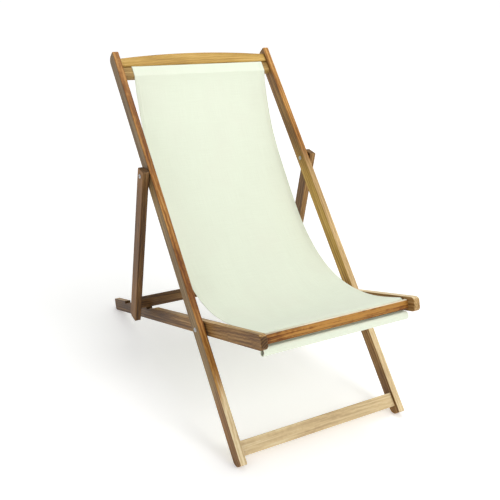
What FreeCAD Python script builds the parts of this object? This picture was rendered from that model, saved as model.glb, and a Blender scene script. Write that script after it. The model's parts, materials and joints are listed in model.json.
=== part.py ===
import FreeCAD, Part
import math
import os
import Sketcher

# Folding deck chair: a long frame that leans back, a seat frame hinged to it low down, a prop
# frame hinged to it high up, and one length of canvas slung between the two ends.
# +X is the sitter's left, -Y is where the sitter faces, +Z is up, and z = 0 is the floor.
# Each frame has its own flat coordinates: "along" its rails and "out" of them, at right angles.

doc = FreeCAD.newDocument("deck_chair")
dims = doc.addObject("Spreadsheet::Sheet", "dims")

SIZES = [
    ("rail_depth", 40, "depth of every side rail and leg"),
    ("rail_thick", 20, "thickness of every side rail and leg"),
    ("rail_round", 19.5, "rounding of the rear corners at the ends of a long rail"),
    ("rail_front_round", 3, "rounding of the front corners there"),
    ("edge_ease", 2, "easing of the long edges"),
    ("half_wide", 275, "centre line to the outer face of a long rail"),
    ("tilt", 45.2, "degrees the long frame stands above the floor"),
    ("long_length", 1258, "long rail, end to end"),
    ("foot_flat", 1, "flat worn on the lowest point of each foot"),
    ("origin_back", 458.9, "how far the end of the long rails stands in front of the origin"),
    ("seat_pivot_at", 377, "lower pivot, from the foot of the long rail"),
    ("prop_pivot_at", 849, "upper pivot, from the foot of the long rail"),
    ("seat_slope", 20.9, "degrees the seat rails fall to the back"),
    ("seat_front", 310.3, "seat rail in front of its pivot"),
    ("seat_front_round", 12, "rounding of the corners at the front of a seat rail"),
    ("seat_gap", 4.5, "gap between long rail and seat rail"),
    ("seat_end_round", 8, "rounding under the back end of a seat rail"),
    ("prop_gap", 3.5, "gap between long rail and prop leg"),
    ("prop_lean", 6.8, "degrees the prop leans from upright"),
    ("prop_below", 496, "prop leg below its pivot"),
    ("prop_top_round", 4, "rounding of the corners at the top of a prop leg"),
    ("prop_end_round", 17, "rounding of the back corner at the foot of a prop leg"),
    ("cross_thick", 20, "thickness of the cross rails"),
    ("cross_ease", 3, "easing of the cross rail edges"),
    ("crest_low", 1212, "underside of the crest rail, along the long rail"),
    ("crest_tall", 28, "crest rail height at its ends"),
    ("crest_rise", 13, "rise of its arched top edge"),
    ("top_bar_low", 1173, "underside of the bar below the crest rail"),
    ("top_bar_tall", 34.5, "height of that bar"),
    ("top_bar_round", 3, "rounding of that bar's edges, which the canvas bends over"),
    ("stretcher_low", 22, "underside of the foot stretcher, along the long rail"),
    ("stretcher_tall", 40, "height of the foot stretcher"),
    ("front_rail_at", 284, "front face of the front rail, ahead of the seat pivot"),
    ("front_rail_deep", 14, "front rail, front to back"),
    ("front_rail_tall", 27, "front rail height"),
    ("front_rail_drop", 0.5, "centre of the front rail below the centre line of the seat rails"),
    ("front_rail_round", 5, "rounding of its edges"),
    ("seat_slot", 4.5, "slot behind the front rail, which the canvas goes down"),
    ("slot_rail_tall", 30, "height of the rail behind that slot"),
    ("slot_rail_top", 14, "its top above the centre line of the seat rails"),
    ("slot_rail_round", 9.5, "rounding of its upper edges, which the canvas bends over"),
    ("crossbar_at", 443, "centre of the prop's crossbar below the upper pivot"),
    ("crossbar_tall", 33, "height of the crossbar"),
    ("crossbar_deep", 22, "crossbar, front to back"),
    ("notch_at", 615, "back wall of the last notch, behind the seat pivot"),
    ("notch_pitch", 100, "distance from notch to notch"),
    ("notch_deep", 9, "depth of a notch at its back wall"),
    ("notch_run", 60, "length of the ramp up out of a notch"),
    ("rod_wide", 19, "diameter of the rods in the canvas sleeves"),
    ("rod_length", 452, "length of those rods"),
    ("canvas_wide", 458, "width of the canvas"),
    ("canvas_thick", 1.6, "thickness of the canvas, hems included"),
    ("canvas_slack", 0.4, "gap between the canvas and what it bends over"),
    ("sleeve_turn", 250, "degrees the canvas wraps round each rod"),
    ("sag_top_turn", 81.2, "degrees down from level where the canvas leaves the top bar"),
    ("sag_top_pull", 153.6, "how far the canvas holds that direction"),
    ("sag_pole_y", 13, "pole of the sag's curve behind the origin"),
    ("sag_pole_z", 288.7, "height of that pole"),
    ("sag_front_turn", 24.5, "degrees up from level where it reaches the slot rail"),
    ("sag_front_pull", 340.5, "how far it holds that direction"),
    ("dowel_wide", 8, "diameter of the dowels that hold the cross rails"),
    ("dowel_in_rail", 14, "depth of a dowel hole in a side rail"),
    ("dowel_in_cross", 24, "depth of a dowel hole in the end of a cross rail"),
    ("dowel_play", 1, "room left at each end of a dowel"),
    ("dowel_fit", 0.04, "radial clearance round a dowel"),
    ("sleeve_wide", 8, "diameter of the pivot sleeves"),
    ("sleeve_short", 3, "how far a sleeve stays inside the outer face"),
    ("pivot_fit", 0.06, "radial clearance of a rail on its pivot sleeve"),
    ("screw_wide", 6, "diameter of the pivot screws"),
    ("screw_length", 30, "pivot screw under its head"),
    ("screw_room", 5, "extra depth of the bore for a pivot screw"),
    ("thread_fit", 0.05, "radial clearance of a screw in its sleeve"),
    ("head_wide", 13, "diameter of screw and sleeve heads"),
    ("head_tall", 2.5, "height of those heads"),
    ("head_dome", 1.8, "rounding of those heads"),
    ("socket_wide", 4, "hex socket across its flats"),
    ("socket_deep", 1.5, "depth of the hex socket"),
    ("washer_wide", 18, "diameter of the washers between the rails"),
    ("washer_play", 0.1, "room on each side of a washer"),
]
for row, (alias, size, meaning) in enumerate(SIZES, start=1):
    dims.set(f"A{row}", meaning)
    dims.set(f"B{row}", str(size))
    dims.setAlias(f"B{row}", alias)
doc.recompute()

# ---------------------------------------------------------------- derived sizes
LONG_IN = "(dims.half_wide - dims.rail_thick)"
SEAT_OUT = f"({LONG_IN} - dims.seat_gap)"
SEAT_IN = f"({SEAT_OUT} - dims.rail_thick)"
PROP_IN = "(dims.half_wide + dims.prop_gap)"
PROP_OUT = f"({PROP_IN} + dims.rail_thick)"

# The end of the long rail's centre line, with the rounded foot resting on its small flat.
LONG_Y = "(-dims.origin_back)"
LONG_Z = (
    "(dims.rail_round - dims.rail_round * sin(dims.tilt) - dims.foot_flat"
    " + (dims.rail_depth / 2 - dims.rail_round) * cos(dims.tilt))"
)
SEAT_Y = f"({LONG_Y} + dims.seat_pivot_at * cos(dims.tilt))"
SEAT_Z = f"({LONG_Z} + dims.seat_pivot_at * sin(dims.tilt))"
PROP_Y = f"({LONG_Y} + dims.prop_pivot_at * cos(dims.tilt))"
PROP_Z = f"({LONG_Z} + dims.prop_pivot_at * sin(dims.tilt))"

# The seat rails run back until the rounding under their ends meets the floor.
SEAT_BACK = (
    f"(dims.seat_end_round + ({SEAT_Z} + dims.foot_flat - dims.seat_end_round"
    " - (dims.rail_depth / 2 - dims.seat_end_round) * cos(dims.seat_slope))"
    " / sin(dims.seat_slope))"
)


class Frame:
    """Flat coordinates of one folding frame: its pivot, and which way its rails run."""

    def __init__(self, y, z, sense, angle):
        self.y, self.z, self.sense, self.angle = y, z, sense, angle

    def global_yz(self, along, out):
        y = f"{self.y} + ({along}) * cos({self.angle}) - {self.sense} * ({out}) * sin({self.angle})"
        z = f"{self.z} + {self.sense} * ({along}) * sin({self.angle}) + ({out}) * cos({self.angle})"
        return y, z

    def floor(self, y, z):
        """A point given from this frame's foot on the floor, as along and out."""
        up = f"(({z}) - {self.z})"
        along = f"({y}) * cos({self.angle}) + {self.sense} * {up} * sin({self.angle})"
        out = f"{up} * cos({self.angle}) - {self.sense} * ({y}) * sin({self.angle})"
        return along, out


LONG = Frame(LONG_Y, LONG_Z, 1, "dims.tilt")
SEAT = Frame(SEAT_Y, SEAT_Z, -1, "dims.seat_slope")
PROP = Frame(PROP_Y, PROP_Z, -1, "(90 - dims.prop_lean)")


# ---------------------------------------------------------------- helpers
def value(expression):
    return float(dims.evalExpression(expression))


def place(obj, frame, x="0", along="0", out="0"):
    turn = FreeCAD.Rotation(FreeCAD.Vector(frame.sense, 0, 0), value(frame.angle))
    obj.Placement = FreeCAD.Placement(FreeCAD.Vector(0, 0, 0), turn)
    y, z = frame.global_yz(along, out)
    obj.setExpression(".Placement.Base.x", x)
    obj.setExpression(".Placement.Base.y", y)
    obj.setExpression(".Placement.Base.z", z)
    obj.setExpression(".Placement.Rotation.Angle", f"{frame.angle} * 1 deg")


def new_body(label):
    body = doc.addObject("PartDesign::Body", label)
    body.Label = label
    return body


def new_sketch(body, name, plane, offset="0"):
    sketch = body.newObject("Sketcher::SketchObject", name)
    support = next(f for f in body.Origin.OriginFeatures if f.Role == plane)
    sketch.AttachmentSupport = (support, [""])
    sketch.MapMode = "FlatFace"
    if offset != "0":
        sketch.setExpression(".AttachmentOffset.Base.z", offset)
    return sketch


def pin_point(sketch, geometry, point, x, y):
    """Bind one sketch point to expressions for its two coordinates."""
    for kind, axis, expression in (("DistanceX", -2, x), ("DistanceY", -1, y)):
        size = value(expression)
        if abs(size) < 1e-9:
            sketch.addConstraint(Sketcher.Constraint("PointOnObject", geometry, point, axis))
            continue
        index = sketch.addConstraint(
            Sketcher.Constraint(kind, -1, 1, geometry, point, size))
        sketch.setExpression(f"Constraints[{index}]", expression)


def draw_polygon(sketch, corners):
    points = [FreeCAD.Vector(value(x), value(y), 0) for x, y in corners]
    count = len(points)
    for i in range(count):
        sketch.addGeometry(Part.LineSegment(points[i], points[(i + 1) % count]), False)
    for i in range(count):
        sketch.addConstraint(Sketcher.Constraint("Coincident", i, 2, (i + 1) % count, 1))
    for i, (x, y) in enumerate(corners):
        pin_point(sketch, i, 1, x, y)


def draw_circles(sketch, centres, radius):
    for x, y in centres:
        centre = FreeCAD.Vector(value(x), value(y), 0)
        circle = Part.Circle(centre, FreeCAD.Vector(0, 0, 1), value(radius))
        geometry = sketch.addGeometry(circle, False)
        pin_point(sketch, geometry, 3, x, y)
        index = sketch.addConstraint(
            Sketcher.Constraint("Radius", geometry, value(radius)))
        sketch.setExpression(f"Constraints[{index}]", radius)


def rectangle(x0, y0, x1, y1):
    return [(x0, y0), (x1, y0), (x1, y1), (x0, y1)]


def add_pad(body, sketch, length, reversed_way=False):
    pad = body.newObject("PartDesign::Pad", "pad")
    pad.Profile = sketch
    pad.Reversed = reversed_way
    pad.setExpression("Length", length)
    doc.recompute()
    return pad


def add_pocket(body, sketch, reversed_way, depth=None):
    """Cut the sketch out of the body, through all of it where no depth is given."""
    before = body.Shape.Volume
    pocket = body.newObject("PartDesign::Pocket", "pocket")
    pocket.Profile = sketch
    pocket.Reversed = reversed_way
    if depth is None:
        pocket.Type = "ThroughAll"
    else:
        pocket.setExpression("Length", depth)
    doc.recompute()
    if not body.Shape.Volume < before - 0.1:
        raise RuntimeError(f"{body.Label}: {sketch.Name} cuts nothing")
    return pocket


def add_fillet(body, radius, wanted):
    """Round the edges of the body's tip that the test picks out."""
    base = body.Tip
    names = [f"Edge{i}" for i, e in enumerate(base.Shape.Edges, start=1) if wanted(e)]
    if not names:
        raise RuntimeError(f"{body.Label}: no edge to round")
    fillet = body.newObject("PartDesign::Fillet", "fillet")
    fillet.Base = (base, names)
    fillet.setExpression("Radius", radius)
    doc.recompute()
    return fillet


def ends_of(edge):
    return [v.Point for v in edge.Vertexes]


def runs_across(edge):
    """True for a straight edge along X, which is a corner of a rail's outline."""
    points = ends_of(edge)
    return len(points) == 2 and abs(points[0].x - points[1].x) > 1 and edge.Length < \
        abs(points[0].x - points[1].x) + 1e-6


def lies_flat(edge):
    """True for an edge that lies in a plane across X, such as the rim of a rail's face."""
    return edge.BoundBox.XLength < 1e-6


def drill(body, name, centres, radius, depth, towards_plus, at="0"):
    """Drill holes along X from the plane x = at."""
    sketch = new_sketch(body, name, "YZ_Plane", at)
    draw_circles(sketch, centres, radius)
    return add_pocket(body, sketch, towards_plus, depth)


# ---------------------------------------------------------------- side rails and legs
DOWEL_HOLE = "dims.dowel_wide / 2 + dims.dowel_fit"
PIVOT_HOLE = "dims.sleeve_wide / 2 + dims.pivot_fit"
HALF_DEPTH = "dims.rail_depth / 2"


def make_rail(label, frame, side, inner_x, start, end, corner_rounds):
    """One side rail or leg, from its start to its end along the frame.

    The body stands on its inner face. corner_rounds lists (radius, test on a corner edge).
    """
    body = new_body(label)
    place(body, frame, x=f"{side} * {inner_x}")
    sketch = new_sketch(body, f"{label}_outline", "YZ_Plane")
    draw_polygon(sketch, rectangle(start, f"-{HALF_DEPTH}", end, HALF_DEPTH))
    add_pad(body, sketch, "dims.rail_thick", side < 0)
    for radius, is_corner in corner_rounds:
        add_fillet(body, radius, lambda e: runs_across(e) and is_corner(ends_of(e)[0]))
    add_fillet(body, "dims.edge_ease", lies_flat)
    return body


def dowel_row(tall, along, out, upright):
    """Centres of the two dowels at the end of a cross rail, a quarter of its height from
    its middle. upright is True where that height runs out of the frame."""
    steps = (f"-({tall}) / 4", f"({tall}) / 4")
    if upright:
        return [(along, f"{out} + {step}") for step in steps]
    return [(f"{along} + {step}", out) for step in steps]


CREST_MIDDLE = "dims.crest_low + dims.crest_tall / 2"
TOP_BAR_MIDDLE = "dims.top_bar_low + dims.top_bar_tall / 2"
STRETCHER_MIDDLE = "dims.stretcher_low + dims.stretcher_tall / 2"
FRONT_RAIL_MIDDLE = "(dims.front_rail_deep / 2 - dims.front_rail_at)"
SLOT_RAIL_FRONT = "(dims.front_rail_deep - dims.front_rail_at + dims.seat_slot)"
SLOT_RAIL_MIDDLE = f"({SLOT_RAIL_FRONT} + dims.cross_thick / 2)"

CREST_DOWELS = dowel_row("dims.crest_tall", CREST_MIDDLE, "0", False)
TOP_BAR_DOWELS = dowel_row("dims.top_bar_tall", TOP_BAR_MIDDLE, "0", False)
STRETCHER_DOWELS = dowel_row("dims.stretcher_tall", STRETCHER_MIDDLE, "0", False)
FRONT_RAIL_DOWELS = dowel_row(
    "dims.front_rail_tall", FRONT_RAIL_MIDDLE, "-dims.front_rail_drop", True)
SLOT_RAIL_DOWELS = dowel_row(
    "dims.slot_rail_tall", SLOT_RAIL_MIDDLE, "dims.slot_rail_top - dims.slot_rail_tall / 2", True)
CROSSBAR_DOWELS = dowel_row("dims.crossbar_tall", "dims.crossbar_at", "0", False)


def cut_floor_flat(body, label, frame, side, from_pivot):
    """Flatten what would reach below the floor, under the foot of a rail."""
    reach = "1.5 * dims.rail_depth"
    corners = [
        frame.floor(f"{from_pivot} - {reach}", "0"),
        frame.floor(f"{from_pivot} + {reach}", "0"),
        frame.floor(f"{from_pivot} + {reach}", f"-{reach}"),
        frame.floor(f"{from_pivot} - {reach}", f"-{reach}"),
    ]
    sketch = new_sketch(body, f"{label}_floor", "YZ_Plane")
    draw_polygon(sketch, corners)
    add_pocket(body, sketch, side > 0)


def make_long_rail(label, side):
    rounds = [
        ("dims.rail_round", lambda p: p.z < 0),
        ("dims.rail_front_round", lambda p: p.z > 0),
    ]
    body = make_rail(label, LONG, side, LONG_IN, "0", "dims.long_length", rounds)
    cut_floor_flat(body, label, LONG, side, "dims.rail_round")
    pivots = [("dims.seat_pivot_at", "0"), ("dims.prop_pivot_at", "0")]
    drill(body, f"{label}_pivots", pivots, PIVOT_HOLE, None, side > 0)
    joints = CREST_DOWELS + TOP_BAR_DOWELS + STRETCHER_DOWELS
    drill(body, f"{label}_joints", joints, DOWEL_HOLE, "dims.dowel_in_rail", side > 0)
    return body


def make_seat_rail(label, side):
    rounds = [
        ("dims.seat_front_round", lambda p: p.y < 0),
        ("dims.seat_end_round", lambda p: p.y > 0 and p.z < 0),
        ("dims.edge_ease", lambda p: p.y > 0 and p.z > 0),
    ]
    body = make_rail(label, SEAT, side, SEAT_IN, "-dims.seat_front", SEAT_BACK, rounds)
    cut_floor_flat(body, label, SEAT, side, f"{SEAT_BACK} * cos(dims.seat_slope)")
    sketch = new_sketch(body, f"{label}_notches", "YZ_Plane")
    draw_notches(sketch)
    add_pocket(body, sketch, side > 0)
    drill(body, f"{label}_pivot", [("0", "0")], PIVOT_HOLE, None, side > 0)
    joints = FRONT_RAIL_DOWELS + SLOT_RAIL_DOWELS
    drill(body, f"{label}_joints", joints, DOWEL_HOLE, "dims.dowel_in_rail", side > 0)
    return body


def draw_notches(sketch):
    """Saw-tooth notches: a wall square to the rail at the back, a ramp up to the front."""
    top = HALF_DEPTH
    for number in range(3):
        wall = f"dims.notch_at - {number} * dims.notch_pitch"
        corners = [
            (wall, f"{top} + 1"),
            (f"{wall} - dims.notch_run * (1 + 1 / dims.notch_deep)", f"{top} + 1"),
            (wall, f"{top} - dims.notch_deep"),
        ]
        points = [FreeCAD.Vector(value(x), value(y), 0) for x, y in corners]
        first = sketch.GeometryCount
        for i in range(3):
            sketch.addGeometry(Part.LineSegment(points[i], points[(i + 1) % 3]), False)
        for i in range(3):
            after = first + (i + 1) % 3
            sketch.addConstraint(Sketcher.Constraint("Coincident", first + i, 2, after, 1))
        for i, (x, y) in enumerate(corners):
            pin_point(sketch, first + i, 1, x, y)


def make_prop_leg(label, side):
    rounds = [
        ("dims.prop_top_round", lambda p: p.y < 0),
        ("dims.prop_end_round", lambda p: p.y > 0 and p.z > 0),
        ("dims.edge_ease", lambda p: p.y > 0 and p.z < 0),
    ]
    body = make_rail(label, PROP, side, PROP_IN, f"-{HALF_DEPTH}", "dims.prop_below", rounds)
    drill(body, f"{label}_pivot", [("0", "0")], PIVOT_HOLE, None, side > 0)
    drill(body, f"{label}_joints", CROSSBAR_DOWELS, DOWEL_HOLE, "dims.dowel_in_rail", side > 0)
    return body


# ---------------------------------------------------------------- cross rails
def make_cross_rail(label, frame, half, box, rounds, dowels):
    """A straight cross rail. box is its section, and half its half length."""
    body = new_body(label)
    place(body, frame, x=f"-{half}")
    sketch = new_sketch(body, f"{label}_section", "YZ_Plane")
    draw_polygon(sketch, rectangle(*box))
    add_pad(body, sketch, f"2 * {half}")
    for radius, is_corner in rounds:
        add_fillet(body, radius, lambda e: runs_across(e) and is_corner(ends_of(e)[0]))
    drill_both_ends(body, label, dowels, "0", f"2 * {half}")
    return body


def drill_both_ends(body, label, dowels, low, high):
    depth = "dims.dowel_in_cross"
    drill(body, f"{label}_low_end", dowels, DOWEL_HOLE, depth, True, low)
    drill(body, f"{label}_high_end", dowels, DOWEL_HOLE, depth, False, high)


def make_crest_rail(label):
    """The top rail, with an arched upper edge."""
    body = new_body(label)
    place(body, LONG, along="dims.crest_low", out="-dims.cross_thick / 2")
    half, tall, rise = LONG_IN, "dims.crest_tall", "dims.crest_rise"
    sketch = new_sketch(body, f"{label}_front", "XY_Plane")
    corners = [(f"-{half}", "0"), (half, "0"), (half, tall), (f"-{half}", tall)]
    points = [FreeCAD.Vector(value(x), value(y), 0) for x, y in corners]
    crown = FreeCAD.Vector(0, value(f"{tall} + {rise}"), 0)
    sketch.addGeometry(Part.LineSegment(points[0], points[1]), False)
    sketch.addGeometry(Part.LineSegment(points[1], points[2]), False)
    sketch.addGeometry(Part.Arc(points[2], crown, points[3]), False)
    sketch.addGeometry(Part.LineSegment(points[3], points[0]), False)
    for first, end, second, start in ((0, 2, 1, 1), (1, 2, 2, 1), (2, 2, 3, 1), (3, 2, 0, 1)):
        sketch.addConstraint(Sketcher.Constraint("Coincident", first, end, second, start))
    pin_point(sketch, 0, 1, *corners[0])
    pin_point(sketch, 1, 1, *corners[1])
    pin_point(sketch, 1, 2, *corners[2])
    pin_point(sketch, 3, 1, *corners[3])
    arch = f"({half} ^ 2 + {rise} ^ 2) / (2 * {rise})"
    index = sketch.addConstraint(Sketcher.Constraint("Radius", 2, value(arch)))
    sketch.setExpression(f"Constraints[{index}]", arch)
    add_pad(body, sketch, "dims.cross_thick")
    add_fillet(body, "dims.cross_ease", lambda e: e.BoundBox.XLength > 100)
    centres = [(f"({along}) - dims.crest_low", "dims.cross_thick / 2") for along, _ in CREST_DOWELS]
    drill_both_ends(body, label, centres, f"-{half}", half)
    return body


def all_corners(point):
    return True


def make_top_bar(label):
    low = "dims.top_bar_low"
    thick = "dims.cross_thick / 2"
    box = (low, f"-{thick}", f"{low} + dims.top_bar_tall", thick)
    rounds = [("dims.top_bar_round", all_corners)]
    return make_cross_rail(label, LONG, LONG_IN, box, rounds, TOP_BAR_DOWELS)


def make_stretcher(label):
    low = "dims.stretcher_low"
    thick = "dims.cross_thick / 2"
    box = (low, f"-{thick}", f"{low} + dims.stretcher_tall", thick)
    rounds = [("dims.cross_ease", all_corners)]
    return make_cross_rail(label, LONG, LONG_IN, box, rounds, STRETCHER_DOWELS)


def make_front_rail(label):
    front = "-dims.front_rail_at"
    low = "-dims.front_rail_drop - dims.front_rail_tall / 2"
    high = "-dims.front_rail_drop + dims.front_rail_tall / 2"
    box = (front, low, f"{front} + dims.front_rail_deep", high)
    rounds = [("dims.front_rail_round", all_corners)]
    return make_cross_rail(label, SEAT, SEAT_IN, box, rounds, FRONT_RAIL_DOWELS)


def make_slot_rail(label):
    """The rail behind the front rail, with a bullnose that the canvas bends over."""
    low = "dims.slot_rail_top - dims.slot_rail_tall"
    box = (SLOT_RAIL_FRONT, low, f"{SLOT_RAIL_FRONT} + dims.cross_thick", "dims.slot_rail_top")
    rounds = [
        ("dims.slot_rail_round", lambda p: p.z > 0),
        ("dims.cross_ease", lambda p: p.z < 0),
    ]
    return make_cross_rail(label, SEAT, SEAT_IN, box, rounds, SLOT_RAIL_DOWELS)


def make_crossbar(label):
    low = "dims.crossbar_at - dims.crossbar_tall / 2"
    high = "dims.crossbar_at + dims.crossbar_tall / 2"
    thick = "dims.crossbar_deep / 2"
    box = (low, f"-{thick}", high, thick)
    rounds = [("dims.cross_ease", all_corners)]
    return make_cross_rail(label, PROP, PROP_IN, box, rounds, CROSSBAR_DOWELS)


# ---------------------------------------------------------------- dowels
def make_dowels(label, frame, centres, inner_x):
    """The dowels of one cross rail: a group of separate pins, two at each end."""
    pins = []
    length = "dims.dowel_in_rail + dims.dowel_in_cross - 2 * dims.dowel_play"
    for side in (-1, 1):
        start = "dims.dowel_in_cross - dims.dowel_play"
        if side < 0:
            start = "dims.dowel_in_rail - dims.dowel_play"
        for number, (along, out) in enumerate(centres):
            pin = doc.addObject("Part::Cylinder", f"{label}_{side + 2}_{number}")
            pin.setExpression("Radius", "dims.dowel_wide / 2")
            pin.setExpression("Height", length)
            y, z = frame.global_yz(along, out)
            across = FreeCAD.Rotation(FreeCAD.Vector(0, 1, 0), 90)
            pin.Placement = FreeCAD.Placement(FreeCAD.Vector(0, 0, 0), across)
            pin.setExpression(".Placement.Base.x", f"{side} * {inner_x} - ({start})")
            pin.setExpression(".Placement.Base.y", y)
            pin.setExpression(".Placement.Base.z", z)
            pins.append(pin)
    group = doc.addObject("Part::Compound", label)
    group.Label = label
    group.Links = pins
    return group


# ---------------------------------------------------------------- rods in the canvas sleeves
TOP_SLOT = "((dims.crest_low + dims.top_bar_low + dims.top_bar_tall) / 2)"
LOOP_OUT = "(dims.rod_wide / 2 + dims.canvas_slack + dims.canvas_thick / 2)"
TOP_ROD_ALONG = f"({TOP_SLOT} - {LOOP_OUT})"
TOP_ROD_OUT = (
    "(-(dims.cross_thick / 2 + dims.canvas_slack + dims.canvas_thick + dims.canvas_slack"
    " + dims.rod_wide / 2))"
)
FRONT_DROP_ALONG = f"({SLOT_RAIL_FRONT} - dims.canvas_slack - dims.canvas_thick / 2)"
FRONT_ROD_ALONG = f"({FRONT_DROP_ALONG} - {LOOP_OUT})"
FRONT_ROD_OUT = f"(-({HALF_DEPTH} + dims.canvas_slack + dims.rod_wide / 2))"


def make_rod(label, frame, along, out):
    body = new_body(label)
    place(body, frame, x="-dims.rod_length / 2", along=along, out=out)
    sketch = new_sketch(body, f"{label}_section", "YZ_Plane")
    draw_circles(sketch, [("0", "0")], "dims.rod_wide / 2")
    add_pad(body, sketch, "dims.rod_length")
    add_fillet(body, "dims.edge_ease", lies_flat)
    return body


# ---------------------------------------------------------------- canvas
def sheet_point(frame, along, out):
    y, z = frame.global_yz(along, out)
    return FreeCAD.Vector(0, value(y), value(z))


def heading(frame, along, out):
    """A direction given in a frame's own coordinates."""
    return (sheet_point(frame, str(along), str(out)) - sheet_point(frame, "0", "0")).normalize()


def turn_about(centre, point, degrees):
    """The point carried round a centre, about X."""
    turn = FreeCAD.Rotation(FreeCAD.Vector(1, 0, 0), degrees)
    return centre + turn.multVec(point - centre)


def arc_about(centre, point, degrees):
    middle = turn_about(centre, point, degrees / 2)
    return Part.Arc(point, middle, turn_about(centre, point, degrees)).toShape()


def make_canvas(label):
    """One length of canvas, seen from the side as a single line and then given its
    thickness: a sleeve round the top rod, through the slot under the crest rail, down over
    the bar, a free sag, over the slot rail, and a sleeve round the front rod."""
    half = value("dims.canvas_thick / 2")
    off = value("dims.canvas_slack + dims.canvas_thick / 2")
    slot, loop = value(TOP_SLOT), value(LOOP_OUT)

    # Top sleeve: most of a turn round the rod, then out through the slot.
    top_rod = sheet_point(LONG, TOP_ROD_ALONG, TOP_ROD_OUT)
    sleeve_end = top_rod + heading(LONG, 1, 0) * loop
    sleeve_turn = value("dims.sleeve_turn")
    sleeve_start = turn_about(top_rod, sleeve_end, -sleeve_turn)
    edges = [arc_about(top_rod, sleeve_start, sleeve_turn)]

    # Over the top bar's front upper edge, which is rounded, and down its front face.
    bend = value("dims.top_bar_round") + off
    face = value("dims.cross_thick / 2") + off
    bend_centre = sheet_point(LONG, str(slot - bend), str(face - bend))
    bend_start = bend_centre + heading(LONG, 1, 0) * bend
    bend_end = bend_centre + heading(LONG, 0, 1) * bend
    edges.append(Part.LineSegment(sleeve_end, bend_start).toShape())
    edges.append(arc_about(bend_centre, bend_start, 90))
    bar_low = value("dims.top_bar_low + dims.top_bar_round")
    leave = sheet_point(LONG, str(bar_low), str(face))
    edges.append(Part.LineSegment(bend_end, leave).toShape())

    # Round the bar's front lower edge as far as the sag's own direction.
    lower_centre = sheet_point(LONG, str(bar_low), str(face - bend))
    into_sag = value("dims.sag_top_turn - dims.tilt")
    edges.append(arc_about(lower_centre, leave, into_sag))
    sag_top = turn_about(lower_centre, leave, into_sag)
    down = turn_about(FreeCAD.Vector(0, 0, 0), heading(LONG, -1, 0), into_sag)

    # Where it meets the slot rail's bullnose, and how far it turns there to go down the slot.
    nose_bend = value("dims.slot_rail_round") + off
    nose = sheet_point(SEAT, f"{FRONT_DROP_ALONG} + {nose_bend}",
                       "dims.slot_rail_top - dims.slot_rail_round")
    into_slot = nose + heading(SEAT, -1, 0) * nose_bend
    over_nose = value("90 + dims.sag_front_turn - dims.seat_slope")
    sag_front = turn_about(nose, into_slot, -over_nose)
    arrive = turn_about(FreeCAD.Vector(0, 0, 0), heading(SEAT, 0, -1), -over_nose)

    sag = Part.BezierCurve()
    sag.setPoles([
        sag_top,
        sag_top + down * value("dims.sag_top_pull"),
        FreeCAD.Vector(0, value("dims.sag_pole_y"), value("dims.sag_pole_z")),
        sag_front - arrive * value("dims.sag_front_pull"),
        sag_front,
    ])
    edges.append(sag.toShape())
    edges.append(arc_about(nose, sag_front, over_nose))

    # Front sleeve: down the slot and most of a turn round the rod below it.
    front_rod = sheet_point(SEAT, FRONT_ROD_ALONG, FRONT_ROD_OUT)
    sleeve_side = front_rod + heading(SEAT, 1, 0) * loop
    edges.append(Part.LineSegment(into_slot, sleeve_side).toShape())
    edges.append(arc_about(front_rod, sleeve_side, -sleeve_turn))

    line = Part.Wire(edges)
    start = line.Edges[0].valueAt(line.Edges[0].FirstParameter)
    across = FreeCAD.Vector(value("dims.canvas_wide / 2"), 0, 0)
    square = (start - top_rod).normalize() * half
    rim = [start - across - square, start + across - square,
           start + across + square, start - across + square]
    section = Part.makePolygon(rim + rim[:1])
    canvas = doc.addObject("Part::Feature", label)
    canvas.Label = label
    canvas.Shape = line.makePipeShell([section], True, False)
    sheet_area = canvas.Shape.Volume / value("dims.canvas_thick")
    print(f"{label}: {sheet_area / value('dims.canvas_wide'):.1f} mm long with its sleeves")
    return canvas


# ---------------------------------------------------------------- pivots
def make_turned(label, frame, along, profile, rounded=None, hole=None):
    """A piece turned about X. profile lists (x, radius) corners from the axis outwards."""
    body = new_body(label)
    place(body, frame, along=along)
    sketch = new_sketch(body, f"{label}_profile", "XY_Plane")
    draw_polygon(sketch, profile)
    turned = body.newObject("PartDesign::Revolution", "turned")
    turned.Profile = sketch
    turned.ReferenceAxis = (sketch, ["H_Axis"])
    doc.recompute()
    if rounded:
        add_fillet(body, "dims.head_dome", rounded)
    if hole:
        hole(body)
    return body


def hex_socket(body, label, face_x, side):
    """A hexagonal socket sunk into the domed face of a screw."""
    sketch = new_sketch(body, f"{label}_socket", "YZ_Plane", face_x)
    corner = "dims.socket_wide / 2 / cos(30)"
    corners = [(f"{corner} * cos({60 * i})", f"{corner} * sin({60 * i})") for i in range(6)]
    draw_polygon(sketch, corners)
    add_pocket(body, sketch, side < 0, "dims.socket_deep")


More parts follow.
